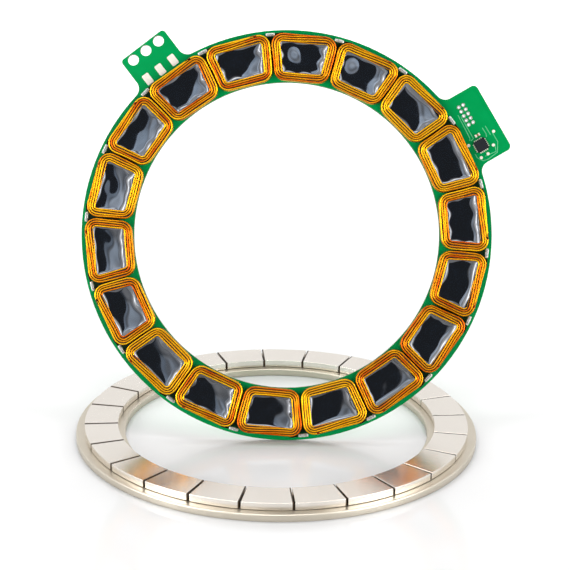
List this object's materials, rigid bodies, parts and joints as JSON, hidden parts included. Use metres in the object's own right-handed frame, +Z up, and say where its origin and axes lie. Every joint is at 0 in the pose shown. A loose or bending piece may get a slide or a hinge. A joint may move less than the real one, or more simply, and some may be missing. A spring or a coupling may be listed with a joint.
{
  "type": "axial flux motor",
  "caption": "Frameless axial flux motor kit: a ring of wound coils on a tabbed circuit board, standing apart from a flat steel rotor ring faced with magnets.",
  "frame": {"origin": "centre of the rotor's back face, on the rotor's axis, on the surface that both halves stand on", "axes": "+Z up along the rotor's axis, -Y towards the side that the coils face, +X to the right as seen from that side"},
  "size_m": [0.1098, 0.1024, 0.0989],
  "materials": {
    "board": "green solder mask on glass epoxy board",
    "winding": "amber enamelled copper wire",
    "epoxy": "glossy black casting epoxy",
    "solder": "bright solder",
    "land": "plated copper land",
    "chip": "black moulded package",
    "ceramic": "fired ceramic",
    "back_iron": "nickel plated steel",
    "magnet": "satin nickel plating on sintered magnet",
    "adhesive": "dark cured adhesive"
  },
  "bodies": {
    "stator": {"capacitor": "ceramic", "capacitor_ends": "solder", "chip_contacts": "solder", "coil_01": "winding", "coil_02": "winding", "coil_03": "winding", "coil_04": "winding", "coil_05": "winding", "coil_06": "winding", "coil_07": "winding", "coil_08": "winding", "coil_09": "winding", "coil_10": "winding", "coil_11": "winding", "coil_12": "winding", "coil_13": "winding", "coil_14": "winding", "coil_15": "winding", "coil_16": "winding", "coil_17": "winding", "coil_18": "winding", "coil_fill": "epoxy", "coil_joints": "solder", "coil_leads": "winding", "header_eyelets": "solder", "phase_pads": "land", "sensor_chip": "chip", "stator_board": "board", "test_pads": "land"},
    "rotor": {"back_iron": "back_iron", "magnet_01": "magnet", "magnet_02": "magnet", "magnet_03": "magnet", "magnet_04": "magnet", "magnet_05": "magnet", "magnet_06": "magnet", "magnet_07": "magnet", "magnet_08": "magnet", "magnet_09": "magnet", "magnet_10": "magnet", "magnet_11": "magnet", "magnet_12": "magnet", "magnet_13": "magnet", "magnet_14": "magnet", "magnet_15": "magnet", "magnet_16": "magnet", "magnet_17": "magnet", "magnet_18": "magnet", "magnet_19": "magnet", "magnet_20": "magnet", "magnet_21": "magnet", "magnet_22": "magnet", "magnet_23": "magnet", "magnet_24": "magnet", "magnet_bond": "adhesive"}
  },
  "joints": [
    {"name": "rotor_spin", "type": "hinge", "parent": "stator", "child": "rotor", "pos_m": [0, 0, 0], "axis": [0, 0, 1], "continuous": true}
  ]
}
